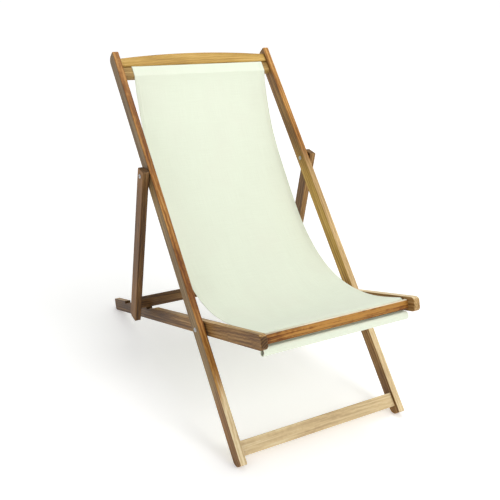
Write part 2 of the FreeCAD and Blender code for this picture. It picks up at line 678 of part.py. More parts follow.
def make_pivot(name, at, inner_x, outer_x, gap_x, gap, side):
    """One pivot: a flanged sleeve from inside, a screw from outside, a washer between."""
    where = "left" if side < 0 else "right"
    barrel, flange = "dims.sleeve_wide / 2", "dims.head_wide / 2"
    bore = "dims.screw_wide / 2 + dims.thread_fit"
    mouth = f"({outer_x} - dims.sleeve_short)"
    bottom = f"({outer_x} - dims.screw_length - dims.screw_room)"

    def at_side(x):
        return f"{side} * ({x})"

    def rim_at(face_x):
        edge_x = value(at_side(face_x))
        return lambda e: (lies_flat(e) and abs(e.BoundBox.Center.x - edge_x) < 0.01
                          and e.BoundBox.YLength > value("dims.head_wide") - 0.1)

    inside = f"{inner_x} - dims.head_tall"
    sleeve = make_turned(
        f"{name}_sleeve_{where}", LONG, at,
        [(at_side(inside), "0"), (at_side(inside), flange), (at_side(inner_x), flange),
         (at_side(inner_x), barrel), (at_side(mouth), barrel), (at_side(mouth), bore),
         (at_side(bottom), bore), (at_side(bottom), "0")],
        rim_at(inside))
    outside = f"{outer_x} + dims.head_tall"
    shank = f"({outer_x} - dims.screw_length)"
    screw_label = f"{name}_screw_{where}"
    screw = make_turned(
        screw_label, LONG, at,
        [(at_side(shank), "0"), (at_side(shank), "dims.screw_wide / 2"),
         (at_side(outer_x), "dims.screw_wide / 2"), (at_side(outer_x), flange),
         (at_side(outside), flange), (at_side(outside), "0")],
        rim_at(outside),
        lambda body: hex_socket(body, screw_label, at_side(outside), side))
    near, far = f"{gap_x} + dims.washer_play", f"{gap_x} + {gap} - dims.washer_play"
    washer = make_turned(
        f"{name}_washer_{where}", LONG, at,
        [(at_side(near), PIVOT_HOLE), (at_side(near), "dims.washer_wide / 2"),
         (at_side(far), "dims.washer_wide / 2"), (at_side(far), PIVOT_HOLE)])
    return [sleeve, screw, washer]


# ---------------------------------------------------------------- the chair
parts = []
for side, where in ((-1, "left"), (1, "right")):
    parts.append(make_long_rail(f"long_rail_{where}", side))
    parts.append(make_seat_rail(f"seat_rail_{where}", side))
    parts.append(make_prop_leg(f"prop_leg_{where}", side))
    parts += make_pivot("seat_pivot", "dims.seat_pivot_at", SEAT_IN, "dims.half_wide",
                        SEAT_OUT, "dims.seat_gap", side)
    parts += make_pivot("prop_pivot", "dims.prop_pivot_at", LONG_IN, PROP_OUT,
                        "dims.half_wide", "dims.prop_gap", side)

parts.append(make_crest_rail("crest_rail"))
parts.append(make_top_bar("top_bar"))
parts.append(make_stretcher("foot_stretcher"))
parts.append(make_front_rail("front_rail"))
parts.append(make_slot_rail("slot_rail"))
parts.append(make_crossbar("prop_crossbar"))
parts.append(make_dowels("crest_rail_dowels", LONG, CREST_DOWELS, LONG_IN))
parts.append(make_dowels("top_bar_dowels", LONG, TOP_BAR_DOWELS, LONG_IN))
parts.append(make_dowels("foot_stretcher_dowels", LONG, STRETCHER_DOWELS, LONG_IN))
parts.append(make_dowels("front_rail_dowels", SEAT, FRONT_RAIL_DOWELS, SEAT_IN))
parts.append(make_dowels("slot_rail_dowels", SEAT, SLOT_RAIL_DOWELS, SEAT_IN))
parts.append(make_dowels("prop_crossbar_dowels", PROP, CROSSBAR_DOWELS, PROP_IN))
parts.append(make_rod("top_sleeve_rod", LONG, TOP_ROD_ALONG, TOP_ROD_OUT))
parts.append(make_rod("front_sleeve_rod", SEAT, FRONT_ROD_ALONG, FRONT_ROD_OUT))
doc.recompute()
parts.append(make_canvas("sling_canvas"))
doc.recompute()

# ---------------------------------------------------------------- check and write
for obj in doc.Objects:
    if "Invalid" in obj.State or "Error" in obj.State:
        raise RuntimeError(f"{obj.Name} did not build: {obj.State}")
for part in parts:
    if part.Shape.isNull() or not part.Shape.isValid():
        raise RuntimeError(f"{part.Label} has no valid shape")
os.makedirs("parts", exist_ok=True)
whole = FreeCAD.BoundBox()
for part in parts:
    part.Shape.exportStep(f"parts/{part.Label}.step")
    whole.add(part.Shape.optimalBoundingBox())
    print(f"{part.Label}: {len(part.Shape.Solids)} solids, {part.Shape.Volume / 1000:.2f} cm3")
print(f"box X {whole.XMin:.2f} {whole.XMax:.2f}  Y {whole.YMin:.2f} {whole.YMax:.2f}"
      f"  Z {whole.ZMin:.2f} {whole.ZMax:.2f}")
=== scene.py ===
import cmath
import json
import math
from bisect import bisect_left

import bpy
from mathutils import Matrix, Vector, noise


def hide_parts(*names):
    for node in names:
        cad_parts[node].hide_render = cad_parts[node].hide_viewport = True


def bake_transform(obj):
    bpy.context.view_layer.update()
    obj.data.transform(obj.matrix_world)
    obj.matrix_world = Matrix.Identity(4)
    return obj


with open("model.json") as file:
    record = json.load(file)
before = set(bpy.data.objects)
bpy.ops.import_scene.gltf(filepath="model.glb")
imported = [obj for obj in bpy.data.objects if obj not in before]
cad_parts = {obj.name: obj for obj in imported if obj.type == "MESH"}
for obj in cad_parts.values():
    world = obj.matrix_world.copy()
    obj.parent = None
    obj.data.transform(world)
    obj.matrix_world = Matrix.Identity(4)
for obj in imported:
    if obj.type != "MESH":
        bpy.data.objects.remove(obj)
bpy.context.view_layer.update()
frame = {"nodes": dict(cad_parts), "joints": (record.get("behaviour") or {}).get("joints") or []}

MM = 0.001
SEAT_PIVOT = frame["joints"][0]["pos_m"]

# Directions in the side view, as complex numbers y + z*i. "along" runs up the long rails and
# back along the seat rails; "out" is square to it, on the sitter's side.
TILT = math.radians(45.2)
SLOPE = math.radians(-20.9)
LEAN = math.radians(-83.2)
LONG = cmath.exp(1j * TILT)
SEAT = cmath.exp(1j * SLOPE)


def span(node, direction):
    """Lowest and highest reach of a CAD node along a side-view direction, from the seat pivot."""
    _, pivot_y, pivot_z = SEAT_PIVOT
    reach = [(v.co.y - pivot_y) * direction.real + (v.co.z - pivot_z) * direction.imag
             for v in frame["nodes"][node].data.vertices]
    return min(reach), max(reach)


def middle(node, direction):
    low, high = span(node, direction)
    return (low + high) / 2


def side_point(direction, along, out):
    """The side-view point at these distances from the seat pivot."""
    return complex(SEAT_PIVOT[1], SEAT_PIVOT[2]) + direction * complex(along, out)


def side_middle(node, direction):
    """The middle of a CAD node in the side view."""
    return side_point(direction, middle(node, direction), middle(node, direction * 1j))


def smooth(value, low, high):
    """0 at low, 1 at high, and an even S between them."""
    t = min(1.0, max(0.0, (value - low) / (high - low)))
    return t * t * (3 - 2 * t)


# ---------------------------------------------------------------- shader helpers
class Nodes:
    """A material's node tree, with short calls for the nodes that repeat."""

    def __init__(self, name):
        self.material = bpy.data.materials.new(name)
        self.material.use_nodes = True
        self.tree = self.material.node_tree
        self.shader = self.tree.nodes["Principled BSDF"]

    def add(self, kind, **settings):
        node = self.tree.nodes.new(kind)
        for key, value in settings.items():
            setattr(node, key, value)
        return node

    def link(self, value, socket):
        """Feed a socket from another one, or with a plain number or a colour of three parts."""
        if isinstance(value, bpy.types.NodeSocket):
            self.tree.links.new(value, socket)
        elif socket.type == "RGBA":
            socket.default_value = (*value, 1)
        else:
            socket.default_value = value

    def math(self, operation, first, second=0.0):
        node = self.add("ShaderNodeMath", operation=operation)
        self.link(first, node.inputs[0])
        self.link(second, node.inputs[1])
        return node.outputs[0]

    def total(self, *shares):
        """The sum of values, each times its weight."""
        parts = [self.math("MULTIPLY", value, weight) for value, weight in shares]
        result = parts[0]
        for part in parts[1:]:
            result = self.math("ADD", result, part)
        return result

    def swing(self, value, reach):
        """A value about 0.5, turned into one about 0 and scaled."""
        return self.math("MULTIPLY", self.math("SUBTRACT", value, 0.5), reach)

    def mix(self, share, first, second):
        node = self.add("ShaderNodeMix", data_type="RGBA")
        self.link(share, node.inputs["Factor"])
        self.link(first, node.inputs["A"])
        self.link(second, node.inputs["B"])
        return node.outputs["Result"]

    def ramp(self, value, stops):
        node = self.add("ShaderNodeValToRGB")
        elements = node.color_ramp.elements
        while len(elements) < len(stops):
            elements.new(0.5)
        for element, (place, colour) in zip(elements, stops):
            element.position = place
            element.color = (*colour, 1)
        self.link(value, node.inputs["Fac"])
        return node.outputs["Color"]

    def grade(self, value, low, high, first=0.0, last=1.0):
        """first where the value is low or less, last where it is high or more."""
        node = self.add("ShaderNodeMapRange", interpolation_type="SMOOTHSTEP")
        for socket, number in zip(node.inputs, (value, low, high, first, last)):
            self.link(number, socket)
        return node.outputs["Result"]

    def split(self, vector):
        """A vector's parts, by the names X, Y and Z."""
        node = self.add("ShaderNodeSeparateXYZ")
        self.link(vector, node.inputs[0])
        return node.outputs

    def mapping(self, vector, scale=(1, 1, 1), location=(0, 0, 0), rotation=(0, 0, 0)):
        node = self.add("ShaderNodeMapping")
        node.inputs["Scale"].default_value = scale
        node.inputs["Location"].default_value = location
        node.inputs["Rotation"].default_value = rotation
        self.link(vector, node.inputs["Vector"])
        return node.outputs["Vector"]

    def noise(self, vector, scale, detail=4.0, roughness=0.55, distortion=0.0):
        node = self.add("ShaderNodeTexNoise")
        self.link(vector, node.inputs["Vector"])
        node.inputs["Scale"].default_value = scale
        node.inputs["Detail"].default_value = detail
        node.inputs["Roughness"].default_value = roughness
        node.inputs["Distortion"].default_value = distortion
        return node.outputs["Fac"]

    def bump(self, height, distance, strength):
        """Tilt the shader's normal by a height in a material's relief."""
        node = self.add("ShaderNodeBump")
        node.inputs["Distance"].default_value = distance
        node.inputs["Strength"].default_value = strength
        self.link(height, node.inputs["Height"])
        self.link(node.outputs["Normal"], self.shader.inputs["Normal"])

    def edges(self, width):
        """1 on a corner of the shape and 0 on its faces."""
        bevel = self.add("ShaderNodeBevel", samples=6)
        bevel.inputs["Radius"].default_value = width
        geometry = self.add("ShaderNodeNewGeometry")
        agreement = self.add("ShaderNodeVectorMath", operation="DOT_PRODUCT")
        self.link(bevel.outputs["Normal"], agreement.inputs[0])
        self.link(geometry.outputs["Normal"], agreement.inputs[1])
        face, corner = 0.995, 0.86
        return self.grade(agreement.outputs["Value"], face, corner)


# ---------------------------------------------------------------- wood
CORNER_WEAR = 1.8 * MM
FIBRE_RELIEF = 0.2 * MM
TONE_REACH = 0.10


def growth_rings(n, place, drift, seed):
    """Cylinders about a pith well outside the rail, wandering along its length with drift."""
    offset = n.add("ShaderNodeCombineXYZ")
    n.link(n.swing(drift, 0.09), offset.inputs["X"])
    n.link(n.swing(drift, -0.06), offset.inputs["Z"])
    wander = n.add("ShaderNodeVectorMath", operation="ADD")
    pith = (0.07 + 0.013 * seed, 0, 0.05 - 0.009 * seed)
    n.link(n.mapping(place, location=pith), wander.inputs[0])
    n.link(offset.outputs[0], wander.inputs[1])
    rings = n.add("ShaderNodeTexWave", wave_type="RINGS", rings_direction="Y")
    n.link(wander.outputs[0], rings.inputs["Vector"])
    settings = {"Scale": 48, "Distortion": 3.5, "Detail": 3, "Detail Scale": 1.2}
    for socket, number in settings.items():
        rings.inputs[socket].default_value = number
    return rings.outputs["Fac"]


def drawn_out(n, place, squeeze, shift, scale, **settings):
    """Noise drawn out along the grain: its scale there is squeeze times its scale across."""
    return n.noise(n.mapping(place, scale=(1, squeeze, 1), location=shift), scale, **settings)


def scaled(colour, factor):
    return tuple(min(1, part * factor) for part in colour)


def wood(name, tones, turn, seed, side=None, top=None, lower=(), streaks=0.3, ends=0.7,
         figure=1.0):
    """Oiled hardwood. turn rotates the row frame so that the grain runs along Y.

    tones is dark, middle and light. side and top are lit and shaded copies of the tones, for faces
    that look sideways or up: side is painted shade and light on the side faces, and top is
    painted light, the sheen of light on the upper faces. lower lists (tones, side tones, low,
    high), the tones below a height, which fade out from low to high. streaks and ends are how
    dark the streaks and the end grain are, and figure is how strongly the grain is marked."""
    n = Nodes(name)
    where = n.add("ShaderNodeTexCoord")
    place = n.mapping(where.outputs["Object"], rotation=turn)
    grain_facing = n.split(n.mapping(where.outputs["Normal"], rotation=turn))
    facing = n.split(where.outputs["Normal"])
    end = n.grade(n.math("ABSOLUTE", grain_facing["Y"]), 0.72, 0.97)
    side_shading_mask = n.grade(n.math("ABSOLUTE", facing["X"]), 0.6, 0.9)
    top_highlight_mask = n.grade(facing["Z"], 0.74, 0.93)

    # Rings, fibres, pores, bands and streaks, and slow changes of tone.
    drift = n.noise(n.mapping(place, scale=(6, 1.1, 6), location=(seed, 0, seed)), 1.0, 2.0)
    ring = growth_rings(n, place, drift, seed)
    fibre = drawn_out(n, place, 0.03, (3.1 * seed, 0, seed), 620, detail=5.0, roughness=0.6)
    pore = drawn_out(n, place, 0.02, (seed, 0, 2.3 * seed), 1500, detail=2.0, roughness=0.5)
    pore = n.grade(pore, 0.62, 0.76)
    band = drawn_out(n, place, 0.022, (0, 2.9 * seed, seed), 170, detail=3.0, roughness=0.5)
    streak = drawn_out(n, place, 0.018, (5.3 * seed, 0, 0), 130, detail=3.0, distortion=0.3)
    streak = n.grade(streak, 0.53, 0.72)
    tone = n.noise(n.mapping(place, scale=(10, 3.4, 10), location=(0, 1.7 * seed, 0)), 1.0, 3.0)
    blend = n.total((ring, 0.07), (fibre, 0.25), (band, 0.36), (tone, 0.36))

    def shade(palette):
        dark, medium, light = palette
        average = 0.52
        reach = TONE_REACH / figure
        return n.ramp(blend, [(average - reach, dark), (average, medium), (average + reach, light)])

    # Faces that look sideways take the side tones: painted shade and light, for how the lamps fall on
    # them.
    faces = n.mix(side_shading_mask, shade(tones), shade(side or tones))
    uneven_height = n.math("ADD", n.split(where.outputs["Object"])["Z"], n.swing(band, 0.15))
    for low_tones, low_side, low, high in lower:
        below = n.mix(side_shading_mask, shade(low_tones), shade(low_side))
        faces = n.mix(n.grade(uneven_height, low, high), below, faces)
    # Upper faces take the top tones: painted light, the sheen of light on them.
    if top:
        faces = n.mix(top_highlight_mask, faces, shade(top))

    dark, medium, light = tones
    deep = scaled(dark, 0.5)
    colour = n.mix(n.math("MULTIPLY", streak, streaks), faces, deep)
    colour = n.mix(n.math("MULTIPLY", pore, 0.30), colour, deep)

    # End grain soaks up more oil, and handled corners are paler.
    end_colour = n.ramp(n.total((ring, 0.4), (tone, 0.5)), [(0.25, deep), (0.7, scaled(medium, 0.6))])
    colour = n.mix(n.math("MULTIPLY", end, ends), colour, end_colour)
    worn = n.math("MULTIPLY", n.edges(CORNER_WEAR), n.grade(tone, 0.35, 0.65, 0.05, 0.4))
    colour = n.mix(worn, colour, scaled(light, 1.2))
    n.link(colour, n.shader.inputs["Base Color"])

    gloss = n.total((fibre, 0.22), (tone, 0.16))
    n.link(n.math("ADD", gloss, 0.30), n.shader.inputs["Roughness"])
    n.bump(n.total((fibre, 0.6), (pore, -0.9)), FIBRE_RELIEF, 0.7)
    n.shader.inputs["Specular IOR Level"].default_value = 0.25
    return n.material


# Rotations that lay the grain of each kind of rail along Y.
ALONG_LONG = (-TILT, 0, 0)
ALONG_SEAT = (-SLOPE, 0, 0)
ALONG_PROP = (-LEAN, 0, 0)
ACROSS = (0, 0, math.pi / 2)

# Dark, middle and light tones of the wood in different places, some of them used as painted light and
# shade on the sides and tops of the rails.
ORANGE = ((0.145, 0.044, 0.006), (0.33, 0.135, 0.024), (0.55, 0.29, 0.078))
AMBER = ((0.085, 0.024, 0.003), (0.235, 0.082, 0.010), (0.47, 0.225, 0.045))
OLIVE = ((0.11, 0.062, 0.020), (0.20, 0.124, 0.046), (0.32, 0.215, 0.095))
RUSSET = ((0.078, 0.030, 0.006), (0.172, 0.077, 0.018), (0.30, 0.15, 0.05))
TAN = ((0.24, 0.125, 0.038), (0.44, 0.27, 0.10), (0.62, 0.42, 0.19))
BROWN = ((0.11, 0.046, 0.012), (0.25, 0.128, 0.034), (0.40, 0.235, 0.088))
DEEP = ((0.050, 0.021, 0.006), (0.125, 0.060, 0.018), (0.23, 0.125, 0.045))
GOLD = ((0.28, 0.15, 0.024), (0.47, 0.28, 0.058), (0.62, 0.41, 0.125))
BUFF = ((0.17, 0.092, 0.022), (0.32, 0.190, 0.050), (0.48, 0.31, 0.10))
PALE = ((0.48, 0.32, 0.17), (0.70, 0.53, 0.29), (0.84, 0.71, 0.46))
SAND = ((0.38, 0.235, 0.09), (0.60, 0.405, 0.185), (0.76, 0.56, 0.31))
# Painted sheen: the pale streak of light along the top of the front rail.
PAINTED_SHEEN = ((0.52, 0.46, 0.32), (0.74, 0.68, 0.49), (0.88, 0.85, 0.68))


# ---------------------------------------------------------------- metal and cloth
def zinc_steel():
    """Zinc-plated steel, scratched and a little stained."""
    n = Nodes("zinc_steel")
    where = n.add("ShaderNodeTexCoord").outputs["Object"]
    cloud = n.noise(where, 260, 4.0)
    scratches = n.noise(n.mapping(where, scale=(1, 30, 4)), 180, 3.0, 0.6)
    stain = n.grade(n.noise(where, 90, 3.0), 0.5, 0.75)
    colour = n.ramp(cloud, [(0.3, (0.33, 0.34, 0.36)), (0.7, (0.58, 0.59, 0.60))])
    colour = n.mix(n.math("MULTIPLY", stain, 0.5), colour, (0.16, 0.13, 0.10))
    n.link(colour, n.shader.inputs["Base Color"])
    n.link(n.math("ADD", n.math("MULTIPLY", scratches, 0.3), 0.18), n.shader.inputs["Roughness"])
    n.bump(scratches, 0.08 * MM, 0.6)
    n.shader.inputs["Metallic"].default_value = 1.0
    return n.material


THREAD_PITCH = 0.9 * MM
WEAVE_RELIEF = 0.12 * MM


def canvas_cloth():
    """Plain-woven cotton canvas. The cloth's own flat coordinates, in metres, carry the weave."""
    n = Nodes("canvas_cloth")
    flat = n.add("ShaderNodeUVMap", uv_map="cloth").outputs["UV"]
    parts = n.split(flat)
    turns = math.pi / THREAD_PITCH
    across = n.math("SINE", n.math("MULTIPLY", parts["X"], turns))
    down = n.math("SINE", n.math("MULTIPLY", parts["Y"], turns))
    weave = n.math("ADD", n.math("MULTIPLY", n.math("MULTIPLY", across, down), 0.5), 0.5)
    weft = n.noise(n.mapping(flat, scale=(14, 900, 1)), 1.0, 2.0)
    warp = n.noise(n.mapping(flat, scale=(900, 14, 1), location=(3, 5, 0)), 1.0, 2.0)
    slubs = n.math("MULTIPLY", n.math("ADD", weft, warp), 0.5)
    cloud = n.noise(n.mapping(flat, scale=(5, 4, 1)), 1.0, 3.0)

    light, shade = (0.765, 0.823, 0.680), (0.730, 0.781, 0.640)
    thread_gap_shade, faded = (0.60, 0.635, 0.505), (0.735, 0.760, 0.635)
    colour = n.mix(n.grade(slubs, 0.35, 0.62), shade, light)
    # Painted shade in the dips of the weave, between the threads.
    colour = n.mix(n.grade(weave, 0.0, 0.35, 0.18, 0.0), colour, thread_gap_shade)
    colour = n.mix(n.grade(cloud, 0.42, 0.66, 0.0, 0.4), colour, faded)
    n.link(colour, n.shader.inputs["Base Color"])
    n.link(n.grade(slubs, 0.3, 0.7, 0.92, 0.80), n.shader.inputs["Roughness"])
    n.bump(n.math("ADD", weave, n.math("MULTIPLY", slubs, 0.8)), WEAVE_RELIEF, 0.6)
    n.shader.inputs["Sheen Weight"].default_value = 0.18
    n.shader.inputs["Sheen Roughness"].default_value = 0.5
    n.shader.inputs["Specular IOR Level"].default_value = 0.2
    return n.material


def thread():
    """Sewing thread, a little yellower than the cloth."""
    n = Nodes("thread")
    where = n.add("ShaderNodeTexCoord").outputs["Object"]
    ply = n.noise(where, 1400, 2.0)
    colour = n.ramp(ply, [(0.35, (0.66, 0.67, 0.52)), (0.65, (0.86, 0.87, 0.74))])
    n.link(colour, n.shader.inputs["Base Color"])
    n.bump(ply, 0.1 * MM, 0.6)
    n.shader.inputs["Roughness"].default_value = 0.65
    return n.material


def paint(material, *nodes):
    """Give CAD nodes a material in place of the plain one."""
    for node in nodes:
        for slot in frame["nodes"][node].material_slots:
            slot.material = material


def paint_frame():
    """The grain runs along each piece, and no two rails are cut from the same wood."""
    # Each side= tone is painted light and shade for faces that look sideways, and each top= tone is
    # painted light on upper faces.
    paint(wood("long_left_wood", ORANGE, ALONG_LONG, 1.3, side=OLIVE, streaks=0.25,
               lower=[(PALE, RUSSET, 0.12, 0.18)]), "long_rail_left")
    paint(wood("long_right_wood", ORANGE, ALONG_LONG, 4.1, side=BROWN, streaks=0.2,
               lower=[(SAND, GOLD, 0.56, 0.66), (PALE, BROWN, 0.24, 0.36)]), "long_rail_right")
    # The seat rails' top tones are painted light on their upper faces; the right rail's side tones
    # are painted shade.
    paint(wood("seat_left_wood", BROWN, ALONG_SEAT, 2.2, top=TAN, ends=0.95,
               lower=[(DEEP, DEEP, 0.14, 0.28)]), "seat_rail_left")
    paint(wood("seat_right_wood", TAN, ALONG_SEAT, 5.7, side=BROWN, top=PALE, ends=0.1),
          "seat_rail_right")
    paint(wood("prop_left_wood", DEEP, ALONG_PROP, 3.4, side=RUSSET), "prop_leg_left")
    paint(wood("prop_right_wood", BROWN, ALONG_PROP, 6.2, side=DEEP), "prop_leg_right")
    paint(wood("crest_wood", GOLD, ACROSS, 1.9, streaks=0.1, figure=0.75), "crest_rail")
    paint(wood("top_bar_wood", BUFF, ACROSS, 3.8, streaks=0.2), "top_bar")
    paint(wood("stretcher_wood", PALE, ACROSS, 5.1, streaks=0.06, figure=0.65), "foot_stretcher")
    # The front rail's top takes painted sheen, a pale streak of light along it.
    paint(wood("front_rail_wood", AMBER, ACROSS, 2.7, top=PAINTED_SHEEN, streaks=0.5, figure=1.45),
          "front_rail")
    paint(wood("slot_rail_wood", BROWN, ACROSS, 0.8), "slot_rail")
    paint(wood("crossbar_wood", DEEP, ACROSS, 4.6), "prop_crossbar")
    # Both rods take the deep tones: painted shade, for the shadow under the seat rails where the rod
    # ends show.
    paint(wood("rod_wood_painted_shade", DEEP, ACROSS, 6.9), "top_sleeve_rod", "front_sleeve_rod")
    dowels = [name for name in frame["nodes"] if name.endswith("_dowels")]
    paint(wood("dowel_wood", PALE, ACROSS, 7.3, streaks=0.1), *dowels)
    hardware = [name for name in frame["nodes"] if "_pivot_" in name]
    paint(zinc_steel(), *hardware)


# ---------------------------------------------------------------- the canvas
CLOTH_WIDE = 0.458
CLOTH_HALF = 0.42 * MM
CLOTH_LIFT = 1.2 * MM
HEM_WIDE = 13 * MM
HEM_HALF = 0.80 * MM
SLEEVE_WRAP = math.radians(320)
BAR_ROUND = 3 * MM
NOSE_ROUND = 9.5 * MM

# How far the canvas lies to one side at each end, and the runs of cloth over which it settles
# to the middle: the first from its upper end, the second back from its lower end.
TOP_SHIFT = 5 * MM
TOP_SETTLES = (0.10, 0.85)
FRONT_SHIFT = 4 * MM
FRONT_SETTLES = (0.064, 0.046)

# The sag: the angles at which it leaves the top bar and reaches the slot rail, how strongly
# each end holds its direction, and the pole between them.
SAG_TOP_TURN = math.radians(81.2)
SAG_TOP_PULL = 0.1536
SAG_POLE = complex(0.013, 0.2887)
SAG_FRONT_TURN = math.radians(24.5)
SAG_FRONT_PULL = 0.3405

# Distances between stations on the sleeves and bends, and counts of them elsewhere.
SLEEVE_STEP = 1.5 * MM
BEND_STEP = 1.2 * MM
SAG_STATIONS = 190
FLAP_STATIONS = 12
BODY_COLUMNS = 52

# How far the loose cloth leaves its plain line: broad swells, folds, pulls beside the bars,
# the flutter of its edges and the belly across it.
SWELL = 5.0 * MM
FOLD = 1.3 * MM
PULL = 0.8 * MM
FLUTTER = 1.6 * MM
BELLY = 3.5 * MM
EDGE_WAVE = 1.2 * MM
FREE_FROM_TOP = 0.16
FREE_FROM_FRONT = 0.12


def arc_points(centre, start, turn, step):
    count = max(3, int(abs(turn) * abs(start - centre) / step))
    return [centre + (start - centre) * cmath.exp(1j * turn * i / count) for i in range(count + 1)]


def curve_points(poles, count):
    """A Bezier curve of any degree."""
    degree = len(poles) - 1
    return [sum(math.comb(degree, k) * (1 - t) ** (degree - k) * t ** k * pole
                for k, pole in enumerate(poles))
            for t in (i / count for i in range(count + 1))]


def upper_line():
    """From the end of the upper sleeve, through the slot and over the top bar."""
    slot = (span("crest_rail", LONG)[0] + span("top_bar", LONG)[1]) / 2
    bar_low = span("top_bar", LONG)[0] + BAR_ROUND
    face = span("top_bar", LONG * 1j)[1] + CLOTH_LIFT
    rod = side_middle("top_sleeve_rod", LONG)
    loop = slot - middle("top_sleeve_rod", LONG)
    sleeve_start = rod + LONG * loop * cmath.exp(-1j * SLEEVE_WRAP)
    bend = BAR_ROUND + CLOTH_LIFT
    upper = side_point(LONG, slot - bend, face - bend)
    lower = side_point(LONG, bar_low, face - bend)
    line = arc_points(rod, sleeve_start, SLEEVE_WRAP, SLEEVE_STEP)
    line += arc_points(upper, upper + LONG * bend, math.pi / 2, BEND_STEP)
    line += arc_points(lower, lower + LONG * 1j * bend, SAG_TOP_TURN - TILT, BEND_STEP)
    return line


def cloth_line():
    """The canvas seen from the side, from the end of its upper sleeve to the end of the lower."""
    line = upper_line()
    bend = NOSE_ROUND + CLOTH_LIFT
    drop = span("slot_rail", SEAT)[0] - CLOTH_LIFT
    nose = side_point(SEAT, drop + bend, span("slot_rail", SEAT * 1j)[1] - NOSE_ROUND)
    over_nose = math.pi / 2 + SAG_FRONT_TURN + SLOPE
    sag_end = nose - SEAT * bend * cmath.exp(-1j * over_nose)
    leave = -cmath.exp(1j * SAG_TOP_TURN)
    arrive = -cmath.exp(-1j * SAG_FRONT_TURN)
    poles = [line[-1], line[-1] + leave * SAG_TOP_PULL, SAG_POLE,
             sag_end - arrive * SAG_FRONT_PULL, sag_end]
    line += curve_points(poles, SAG_STATIONS)[1:-1]
    line += arc_points(nose, sag_end, over_nose, BEND_STEP)

    rod = side_middle("front_sleeve_rod", SEAT)
    flap_end = rod + SEAT * (drop - middle("front_sleeve_rod", SEAT))
    flap = flap_end - line[-1]
    line += [line[-1] + flap * i / FLAP_STATIONS for i in range(1, FLAP_STATIONS)]
    line += arc_points(rod, flap_end, -SLEEVE_WRAP, SLEEVE_STEP)
    return line


def columns():
    """Places across the cloth: close together at the hems, even between them."""
    hem = [d * MM for d in (0, 0.5, 1.5, 4, 8)]
    hem += [HEM_WIDE + d * MM for d in (-1, 0, 1, 4)]
    left = [d - CLOTH_WIDE / 2 for d in hem]
    start, end = left[-1], -left[-1]
    body = [start + (end - start) * i / BODY_COLUMNS for i in range(1, BODY_COLUMNS)]
    return left + body + [-x for x in reversed(left)]


def half_thick(x):
    """Half the cloth's thickness at x: it is folded double at the hems, and thins to its edges."""
    inward = CLOTH_WIDE / 2 - abs(x)
    single = smooth(inward, HEM_WIDE - 1 * MM, HEM_WIDE + 1 * MM)
    thick = HEM_HALF + (CLOTH_HALF - HEM_HALF) * single
    return thick * (0.55 + 0.45 * smooth(inward, -0.5 * MM, 1.5 * MM))


def ripple(x, run, free):
    """How far the loose cloth stands off its plain line at x and at this run along it.

    free is 0 where the cloth is held on a bar and 1 well away from one."""
    swell = noise.noise(Vector((x * 5.5, run * 3.6, 1.7))) * SWELL
    fold = noise.noise(Vector((x * 24 + run * 3, run * 5.0, 4.2))) * FOLD
    pull = noise.noise(Vector((x * 42, run * 3.0, 8.4))) * PULL * (1 - smooth(free, 0.1, 0.9))
    edge = smooth(abs(x), CLOTH_WIDE / 2 - 0.07, CLOTH_WIDE / 2)
    flutter = edge * math.sin(run * 17 + (2.1 if x > 0 else 0.4)) * FLUTTER
    belly = (1 - (2 * x / CLOTH_WIDE) ** 2) * BELLY
    return free * (swell + fold + flutter + belly) + pull * smooth(free, 0.0, 0.1)


class Cloth:
    """The canvas as stations along its line, each with a place, its two directions and how
    free it hangs."""

    def __init__(self):
        line = cloth_line()
        kept = line[:1]
        for before, point in zip(line, line[1:]):
            if abs(point - before) > MM / 1000:
                kept.append(point)
        self.points = kept
        self.runs = [0.0]
        for before, point in zip(kept, kept[1:]):
            self.runs.append(self.runs[-1] + abs(point - before))
        self.length = self.runs[-1]
        ahead = [kept[min(i + 1, len(kept) - 1)] - kept[max(i - 1, 0)] for i in range(len(kept))]
        self.sides = [-1j * d / abs(d) for d in ahead]
        top = side_point(LONG, span("top_bar", LONG)[0], 0)
        front = side_point(SEAT, span("slot_rail", SEAT)[1], 0)
        self.sag_start = min(range(len(kept)), key=lambda i: abs(kept[i] - top))
        self.sag_end = min(range(len(kept)), key=lambda i: abs(kept[i] - front))

    def free(self, index):
        if not self.sag_start < index < self.sag_end:
            return 0.0
        from_top = self.runs[index] - self.runs[self.sag_start]
        to_front = self.runs[self.sag_end] - self.runs[index]
        return smooth(from_top, 0, FREE_FROM_TOP) * smooth(to_front, 0, FREE_FROM_FRONT)

    def place(self, index, x, lift=0.0):
        """A point of the cloth, lift above its middle layer, in the row frame."""
        run = self.runs[index]
        off = lift - ripple(x, run, self.free(index))
        p = self.points[index] + self.sides[index] * off
        from_front = [self.length - d for d in FRONT_SETTLES]
        shift = TOP_SHIFT * (1 - smooth(run, *TOP_SETTLES)) - FRONT_SHIFT * smooth(run, *from_front)
        wavy = math.sin(run * 11 + (0.8 if x > 0 else 2.4)) * (2 * x / CLOTH_WIDE) ** 2 * EDGE_WAVE
        return Vector((x + shift + wavy * self.free(index), p.real, p.imag))

    def between(self, run, x, lift):
        """A point at any run along the cloth, between two stations."""
        i = max(0, min(len(self.runs) - 2, bisect_left(self.runs, run) - 1))
        t = (run - self.runs[i]) / (self.runs[i + 1] - self.runs[i])
        return self.place(i, x, lift).lerp(self.place(i + 1, x, lift), t)


def make_mesh(name, points, faces, material, uvs=None):
    mesh = bpy.data.meshes.new(name)
    mesh.from_pydata([tuple(p) for p in points], [], faces)
    mesh.validate()
    if uvs:
        layer = mesh.uv_layers.new(name="cloth")
        for loop in mesh.loops:
            layer.data[loop.index].uv = uvs[loop.vertex_index]
    for face in mesh.polygons:
        face.use_smooth = True
    mesh.materials.append(material)
    piece = bpy.data.objects.new(name, mesh)
    bpy.context.scene.collection.objects.link(piece)
    return piece


